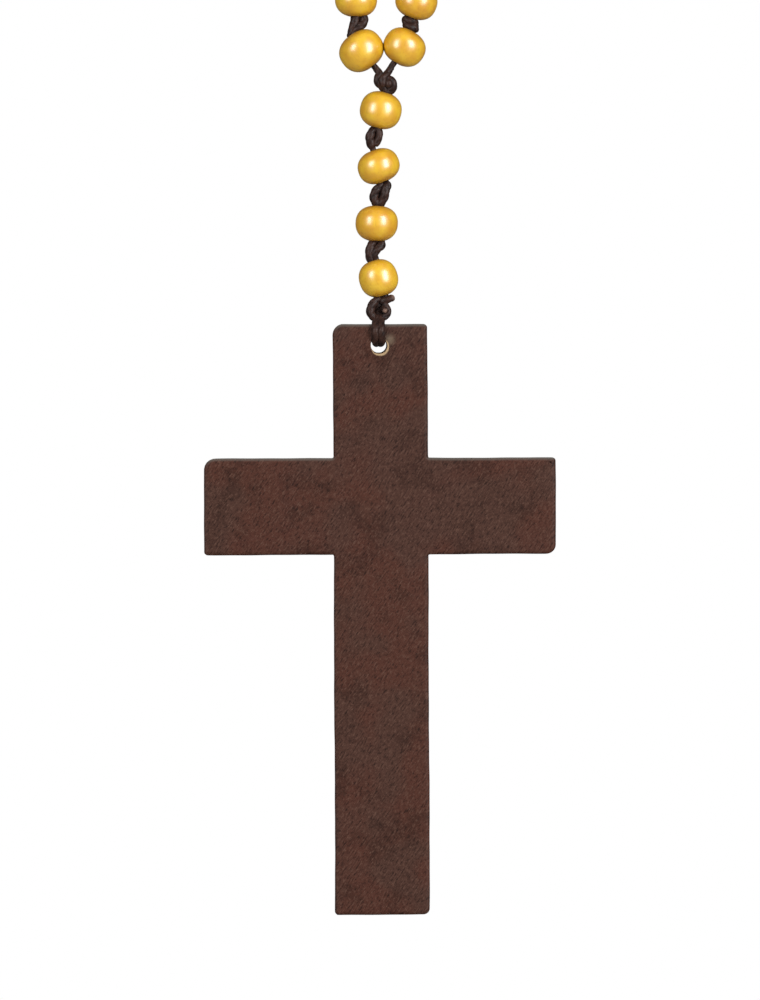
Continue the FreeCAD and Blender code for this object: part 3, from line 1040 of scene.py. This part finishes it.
@dataclass
class Loop:
    """The loop: five stretches of cord, parted where it folds, and a knot in every gap.

    Attributes:
        finish: The waxed cord.
        cord: Its tube.
        patterns: The knots that its other gaps repeat, turned and flipped.
    """

    finish: bpy.types.Material
    cord: CordTube
    patterns: tuple[TiedKnot, ...] = KNOTS_BELOW

    @staticmethod
    def line_of(name: str) -> Array:
        """The smooth line of a stretch: its route's points as a curve of second order."""
        data = bpy.data.curves.new(name, "CURVE")
        data.dimensions = "3D"
        data.resolution_u = 24
        points = places(STRETCHES[name].route)
        spline = data.splines.new("NURBS")
        spline.points.add(len(points) - 1)
        spline.points.foreach_set("co", np.column_stack([points, np.ones(len(points))]).ravel())
        spline.order_u = 3
        spline.use_endpoint_u = True
        holder = linked(f"{name}_route", data)
        bpy.context.view_layer.update()
        mesh = bpy.data.meshes.new_from_object(holder)
        line = np.array([v.co for v in mesh.vertices])
        bpy.data.objects.remove(holder)
        bpy.data.meshes.remove(mesh)
        return line

    def build_cord(self, name: str, line: Array) -> None:
        """Args:
            name: The stretch's CAD node.
            line: Its smooth line.
        """
        stretch = STRETCHES[name]
        mesh = mesh_from(f"{name}_laid", [self.cord.skin(spaced(line, CORD_STEP))])
        made = piece_from(f"{name}_laid", mesh, stretch.body, self.finish, [name])

    def build_knots(
        self, name: str, gaps: Sequence[tuple[Array, Array]], body: str,
        own: TiedKnot | None = None, clear: float = 0.0,
    ) -> None:
        """Make all the knots that ride with one stretch.

        Args:
            name: The new piece's name.
            gaps: The lower and upper mouth of each gap.
            body: The body that they ride on.
            own: A knot that stands where it was drawn, in place of the first gap's.
            clear: How far the first repeated knot keeps from the bead before it, in millimetres,
                so that the loop can fold there.
        """
        chance = np.random.default_rng(sum(name.encode()))
        skins = own.skins(self.cord) if own else []
        for start, end in gaps[1:] if own else gaps:
            gap = (start + unit(end - start) * clear * MM, end)
            clear = 0.0
            pattern = self.patterns[int(chance.integers(len(self.patterns)))]
            roll, flip = float(chance.uniform(0, 2 * math.pi)), int(chance.choice([-1, 1]))
            skins += pattern.skins(self.cord, gap, roll, flip)
        piece_from(name, mesh_from(name, skins), body, self.finish)


@dataclass
class Pendant:
    """The hanging string: the cord inside its four beads, the knots between them, the join knot
    over it and the hanger below.

    Attributes:
        finish: The waxed cord.
        cord: Its tube.
        bends: The upper and lower bending place of the cord in each bead, as (x, height).
        overlap: How far each bead's cord reaches past its bending places, in millimetres.
    """

    finish: bpy.types.Material
    cord: CordTube
    bends: tuple[tuple[tuple[float, float], tuple[float, float]], ...] = (
        ((1.22, -1.6), (-0.75, -8.5)),
        ((-1.22, -12.4), (1.35, -19.0)),
        ((-0.05, -23.5), (-0.45, -30.5)),
        ((-0.9, -34.3), (1.35, -41.3)),
    )
    overlap: float = 0.5

    def piece(self, name: str, skins: Sequence[Skin], node: str, body: str | None = None) -> None:
        """Make one piece of cord from its surfaces, on the body that has its node's name or on
        another one."""
        piece_from(name, mesh_from(name, skins), body or node, self.finish, [node])

    def build(self) -> None:
        """Make the four short cords, the knots and the doubled bight."""
        for number, ends in enumerate(self.bends, start=1):
            top, bottom = places(ends)
            past = unit(top - bottom) * self.overlap * MM
            line = spaced(np.array([top + past, bottom - past]), 0.2 * MM)
            node = f"pendant_cord_{number}"
            self.piece(f"{node}_laid", [self.cord.skin(line)], node)
        for number, knot in enumerate(KNOTS_BELOW, start=1):
            node = f"pendant_knot_{number}"
            self.piece(f"{node}_tied", knot.skins(self.cord), node)
        self.piece("join_knot_tied", JOIN.skins(self.cord), "join_knot", "loop_bottom")
        self.piece("cross_knot_tied", KNOT_OVER_CROSS.skins(self.cord), "cross_knot")
        self.piece("cross_bight_laid", BIGHT.skins(self.cord), "cross_bight")


# ---------------------------------------------------------------- cross


@dataclass
class Cross:
    """The flat board cross; its sizes are in millimetres.

    Attributes:
        finish: The stained board.
        height: Its whole height.
        stem: The stem's width.
        arm_height: The arms' height.
        left_arm: The left arm's length.
        right_arm: The right arm's length.
        arm_drop: From the top to the arms' upper edge.
        thickness: The board's thickness.
        edge: How far the worn edges reach onto the faces.
        hole: The hole's diameter.
        hole_mouth: The rounding of its mouths.
        hole_drop: From the top to its middle.
        hole_offset: The stem's middle line from its middle.
        lean: Degrees out of true, to the left at the top.
        corners: The radii from the top left and clockwise.
        clear: How far the faces' inner points keep from their edges.
        sanding: The waves that hand sanding leaves in the outline: how far each moves it, how
            many go round, and where it begins in radians.
        uneven: How far the faces rise and fall.
    """

    finish: bpy.types.Material
    height: float = 114.4
    stem: float = 18.35
    arm_height: float = 18.72
    left_arm: float = 25.1
    right_arm: float = 24.7
    arm_drop: float = 25.92
    thickness: float = 4.0
    edge: float = 0.8
    hole: float = 3.0
    hole_mouth: float = 0.4
    hole_drop: float = 4.05
    hole_offset: float = 0.32
    lean: float = 0.25
    corners: tuple[float, ...] = (2.1, 0.8, 0.3, 0.7, 1.9, 0.3, 1.2, 0.7, 0.3, 0.7, 2.3, 0.3)
    clear: float = 1.2
    sanding: tuple[tuple[float, int, int], ...] = ((0.035, 9, 1), (0.02, 23, 0), (0.012, 61, 2))
    uneven: float = 0.02

    def outline(self) -> tuple[Array, Array]:
        """The board's outline about the hole's middle: straight edges walked in millimetre steps,
        and a quarter round at each corner, shifted by a few hundredths as hand sanding leaves it.

        Returns:
            The points and their outward directions, as (x, z) in millimetres.
        """
        left, right = self.hole_offset - self.stem / 2, self.hole_offset + self.stem / 2
        top = self.hole_drop
        arm_top = top - self.arm_drop
        arm_foot, foot = arm_top - self.arm_height, top - self.height
        far_left, far_right = left - self.left_arm, right + self.right_arm
        spots = np.array([
            (left, top), (right, top), (right, arm_top), (far_right, arm_top),
            (far_right, arm_foot), (right, arm_foot), (right, foot), (left, foot),
            (left, arm_foot), (far_left, arm_foot), (far_left, arm_top), (left, arm_top),
        ])
        radii = np.array(self.corners)[:, None]
        back = unit(np.roll(spots, 1, axis=0) - spots)
        ahead = unit(np.roll(spots, -1, axis=0) - spots)
        centres = spots + (back + ahead) * radii
        turn = np.linspace(0, math.pi / 2, 9)[None, :, None]
        arcs = (
            centres[:, None]
            - np.cos(turn) * (ahead * radii)[:, None]
            - np.sin(turn) * (back * radii)[:, None]
        )
        loops = []
        for arc, after in zip(arcs, np.roll(arcs, -1, axis=0)):
            gap = np.linalg.norm(after[0] - arc[-1])
            steps = np.linspace(0, 1, max(3, round(gap)))[1:-1, None]
            loops += [arc, arc[-1] + (after[0] - arc[-1]) * steps]
        points = np.vstack(loops)
        tangent = unit(np.roll(points, -1, axis=0) - np.roll(points, 1, axis=0))
        outward = np.column_stack([-tangent[:, 1], tangent[:, 0]])
        walked = np.linspace(0, 2 * math.pi, len(points), endpoint=False)
        shift = sum(far * np.sin(times * walked + start) for far, times, start in self.sanding)
        return points + outward * shift[:, None], outward

    def placed(self, points: Array) -> Array:
        """Points about the hole's middle, in millimetres, leaned and put in place, in metres."""
        lean = math.radians(self.lean)
        x = points[..., 0] * math.cos(lean) - points[..., 2] * math.sin(lean)
        z = points[..., 0] * math.sin(lean) + points[..., 2] * math.cos(lean)
        return np.stack([x, points[..., 1], z], axis=-1) * MM + at(*HOLE_AT)

    def wall(self, loop: Array, outward: Array, radius: float, highlight_share: float) -> Skin:
        """The rounded wall of one outline. A quarter round goes from the front face to the wall,
        and another from the wall to the back face.

        Args:
            loop: The wall's outline, as (x, z) in millimetres.
            outward: The direction away from the wood at each point.
            radius: How far the rounding reaches onto the faces; it is three quarters as deep.
            highlight_share: How strong the painted grey highlight on its upper edges is, from 0 to
                1.

        Returns:
            The wall's grid.
        """
        turn = np.linspace(0, math.pi / 2, 8)
        turn = np.concatenate([turn, turn[::-1]])
        inset = radius * (1 - np.sin(turn))
        depth = self.thickness / 2 - 0.75 * radius * (1 - np.cos(turn))
        depth[: len(turn) // 2] *= -1
        flat = loop[None] - inset[:, None, None] * outward[None]
        y = np.broadcast_to(depth[:, None], flat.shape[:2])
        points = self.placed(np.stack([flat[..., 0], y, flat[..., 1]], axis=-1))
        # Painted highlight: it grows round the rounding and with how far the edge faces up.
        rim_highlight = highlight_share * np.sin(turn)[:, None] * np.clip(outward[:, 1], 0, 1)[None]
        return Skin(points, values={"rim_highlight": rim_highlight})

    def face(self, outer: Array, inner: Array, y: float) -> Skin:
        """One flat face between the outline and the hole, with points every two millimetres;
        between them it rises and falls by hundredths, as a sanded board does.

        Args:
            outer: The face's outer edge, as (x, z) in millimetres.
            inner: The edge of the hole's mouth.
            y: The face's depth.

        Returns:
            The face's triangles.
        """
        low, high = outer.min(axis=0), outer.max(axis=0)
        grid = np.stack(
            np.meshgrid(np.arange(low[0] + 1, high[0], 2.0), np.arange(low[1] + 1, high[1], 2.0)),
            axis=-1,
        ).reshape(-1, 2)
        half, arm_top = self.stem / 2 - self.clear, self.hole_drop - self.arm_drop
        in_stem = np.abs(grid[:, 0] - self.hole_offset) < half
        middle = arm_top - self.arm_height / 2
        in_arms = np.abs(grid[:, 1] - middle) < self.arm_height / 2 - self.clear
        inside = (grid > low + self.clear).all(1) & (grid < high - self.clear).all(1)
        off_hole = np.linalg.norm(grid, axis=1) > self.hole / 2 + self.clear
        grid = grid[(in_stem | in_arms) & inside & off_hole]
        flat = np.vstack([outer, inner, grid])
        rings = [(0, len(outer)), (len(outer), len(inner))]
        edges = [(s + i, s + (i + 1) % n) for s, n in rings for i in range(n)]
        found = delaunay_2d_cdt([Vector(p) for p in flat], edges, [], 1, 1e-6)
        spots = np.array([tuple(v) for v in found[0]])
        triangles = np.array([tuple(f) for f in found[2]])
        wood = np.linalg.norm(spots[triangles].mean(axis=1), axis=1) > self.hole / 2
        rise = self.uneven * np.sin(spots[:, 0] * 0.31 + 0.9) * np.sin(spots[:, 1] * 0.17 + 0.4)
        own = {tuple(np.round(p, 4)) for p in grid}
        free = np.array([tuple(np.round(p, 4)) in own for p in spots])
        points = np.column_stack([spots[:, 0], y + np.where(free, rise, 0.0), spots[:, 1]])
        values = {"rim_highlight": np.zeros(len(points))}
        return Skin(self.placed(points), values=values, triangles=triangles[wood])

    def build(self) -> None:
        """Make the board."""
        outline, outward = self.outline()
        turn = np.linspace(0, 2 * math.pi, 64, endpoint=False)
        circle = np.column_stack([np.cos(turn), np.sin(turn)])
        mouth = circle * self.hole / 2
        edges = outline - outward * self.edge, mouth + circle * self.hole_mouth
        skins = [
            self.wall(outline, outward, self.edge, 1.0),
            self.wall(mouth, -circle, self.hole_mouth, 0.0),
            self.face(*edges, -self.thickness / 2),
            self.face(*edges, self.thickness / 2),
        ]
        mesh = mesh_from("cross_board", skins, near=2e-6)
        piece_from("cross_board", mesh, "cross", self.finish, ["cross"])


# ---------------------------------------------------------------- studio


@dataclass
class Studio:
    """The camera, the lights, the white surroundings and the floor.

    Attributes:
        distance: The camera's distance from the rosary, in metres.
        view_height: The height of the view at the rosary, in metres.
        aim: The middle of the view, as (x, height) in millimetres.
        brightness: The front softboxes' light, where white paper in the view has 1.
        overhead: The overhead box's light.
        behind: The light of the box behind, for looks at the back.
        fill: The light of the surroundings.
        glint: The surroundings' brightness in the lacquer.
        floor_radius: The floor's radius, in metres.
        floor_drop: How far it lies below the cross, in metres.
    """

    distance: float = 2.0
    view_height: float = 0.1938
    aim: tuple[float, float] = (0.2, -80.6)
    brightness: float = 15.0
    overhead: float = 1.6
    behind: float = 3.0
    fill: float = 0.2
    glint: float = 0.08
    floor_radius: float = 0.45
    floor_drop: float = 0.05

    def camera(self) -> None:
        """A long lens level with the middle of the view."""
        data = bpy.data.cameras.new("camera")
        data.sensor_width = 36.0
        data.lens = data.sensor_width * self.distance / self.view_height
        data.clip_end = 20.0
        made = linked("camera", data)
        made.location = at(*self.aim) - np.array([0.0, self.distance, 0.0])
        made.rotation_euler = (math.pi / 2, 0.0, 0.0)
        bpy.context.scene.camera = made

    def softbox(
        self, name: str, azimuth: float, elevation: float, size: tuple[float, float],
        brightness: float, away: float = 0.9, mirrored: bool = True,
    ) -> None:
        """An area light that faces the middle of the hanging string.

        Args:
            name: The light's name.
            azimuth: Degrees to the right of the front.
            elevation: Degrees above level.
            size: Its width and height, in metres.
            brightness: Its light, where white paper in the view has 1.
            away: Its distance, in metres.
            mirrored: Whether the lacquer shows its reflection.
        """
        data = bpy.data.lights.new(name, "AREA")
        data.shape = "RECTANGLE"
        data.size, data.size_y = size
        data.energy = brightness * math.pi * size[0] * size[1]
        made = linked(name, data)
        a, e = math.radians(azimuth), math.radians(elevation)
        way = Vector((math.sin(a) * math.cos(e), -math.cos(a) * math.cos(e), math.sin(e)))
        made.location = Vector(at(0.0, -30.0)) + way * away
        made.rotation_euler = way.to_track_quat("Z", "Y").to_euler()
        made.visible_camera = False
        made.visible_glossy = mirrored

    def surroundings(self) -> None:
        """White paper all round for the eye, and a softer grey for the light it gives."""
        world = bpy.data.worlds.new("surroundings")
        bpy.context.scene.world = world
        nodes = Nodes(world)
        path = nodes.add("ShaderNodeLightPath")
        unseen = nodes.add(
            "ShaderNodeMapRange",
            {"Value": path.outputs["Is Glossy Ray"], "To Min": self.fill, "To Max": self.glint},
        )
        strength = nodes.add(
            "ShaderNodeMapRange",
            {"Value": path.outputs["Is Camera Ray"], "To Min": unseen.outputs[0], "To Max": 1.0},
        )
        shade = nodes.add(
            "ShaderNodeBackground",
            {"Color": (1.0, 1.0, 1.0, 1.0), "Strength": strength.outputs[0]},
        )
        nodes.add("ShaderNodeOutputWorld", {"Surface": shade.outputs[0]})

    def floor(self) -> None:
        """A round sheet of paper below the cross."""
        turn = np.linspace(0, 2 * math.pi, 96, endpoint=False)
        low = np.full(len(turn), CAD_BOX[0][2] - self.floor_drop)
        ring = [self.floor_radius * np.cos(turn), self.floor_radius * np.sin(turn), low]
        mesh = bpy.data.meshes.new("floor")
        mesh.from_pydata(np.column_stack(ring).tolist(), [], [tuple(range(len(turn)))])
        mesh.materials.append(PaperFloor().material())
        made = linked("floor", mesh)
        made.visible_glossy = False

    def light(self) -> None:
        """A tall softbox at each side of the front, the right one larger, and wide dim ones
        overhead and behind."""
        self.softbox("left_box", -42.0, 15.0, (0.26, 0.5), self.brightness)
        self.softbox("right_box", 41.0, 14.0, (0.36, 0.68), self.brightness)
        self.softbox("top_box", 0.0, 88.0, (1.2, 1.2), self.overhead, 1.0, False)
        self.softbox("back_box", 180.0, 20.0, (0.9, 0.9), self.behind, 1.4, False)


def bead_spots() -> dict[str, BeadPlace]:
    """Where every bead of its own is, from its joint and its solid; its body has its name."""
    spots = {}
    for joint in frame["joints"]:
        if joint["name"].startswith("spin_"):
            centre, axis = np.array(joint["pos_m"]), np.array(joint["axis"])
            points = node_points(joint["child"])
            spots[joint["child"]] = BeadPlace.measured(points, centre, axis)
    return spots


def top_spots(line: Array, count: int = 22, first: float = 7.15, own: int = 3) -> list[BeadPlace]:
    """Where the beads over the support are, spaced as the solids are along the top's line.

    Args:
        line: The top stretch's smooth line.
        count: Beads on the stretch.
        first: From its end to the first bead's middle, in millimetres.
        own: Beads at each end that have nodes of their own.

    Returns:
        The places, from left to right.
    """
    total = lengths_along(line)[-1]
    distances = np.linspace(first * MM, total - first * MM, count)[own:-own]
    centres = point_on(line, distances)
    axes = unit(point_on(line, distances + 0.5 * MM) - point_on(line, distances - 0.5 * MM))
    solid = node_points("top_beads")
    nearest = np.linalg.norm(solid[:, None] - centres[None], axis=2).argmin(axis=1)
    spots = []
    for number, axis in enumerate(axes):
        own_points = solid[nearest == number]
        middle = (own_points.min(axis=0) + own_points.max(axis=0)) / 2
        spots.append(BeadPlace.measured(own_points, middle, axis))
    return spots


def main() -> None:
    """Build the rosary and its studio."""
    logging.basicConfig(level=logging.INFO, format="%(message)s")
    scene = bpy.context.scene
    scene.view_settings.view_transform = "Standard"
    studio = Studio()
    studio.camera()

    waxed, cord = WaxedCord().material(), CordTube()
    loop = Loop(waxed, cord)
    lines = {name: loop.line_of(name) for name in STRETCHES}
    for name, line in lines.items():
        loop.build_cord(name, line)

    spots = bead_spots()
    over_support = top_spots(lines["loop_cord_top"])
    chains = {
        side: [spots[f"{side}_bead_{n + 1:02d}"] for n in range(SIDE_BEADS)]
        for side in ("left", "right")
    }
    for (side, beads), lowest in zip(chains.items(), (ABOVE_LEFT, ABOVE_RIGHT)):
        gaps = [(a.mouth(1), b.mouth(-1)) for a, b in zip(beads, beads[1:])]
        low, high = FOLD_GAPS
        loop.build_knots(f"{side}_bottom_knots", gaps[:low], "loop_bottom", lowest)
        loop.build_knots(f"{side}_middle_knots", gaps[low:high], "loop_middle", clear=1.6)
        loop.build_knots(f"{side}_top_knots", gaps[high:], "loop_top", clear=1.1)
    arch = [chains["left"][-1], *over_support]
    gaps = [(a.mouth(1), b.mouth(-1)) for a, b in zip(arch, arch[1:])]
    gaps.append((arch[-1].mouth(1), chains["right"][-1].mouth(1)))
    loop.build_knots("arch_knots", gaps, "loop_top")
    Pendant(waxed, cord).build()

    turned = Beads(LacqueredBead().material())
    turned.build(spots)
    turned.build_group("top_beads", over_support, "loop_top")
    Cross(StainedBoard().material(at(*HOLE_AT))).build()

    studio.light()
    studio.surroundings()
    studio.floor()


if __name__ == "__main__":
    main()
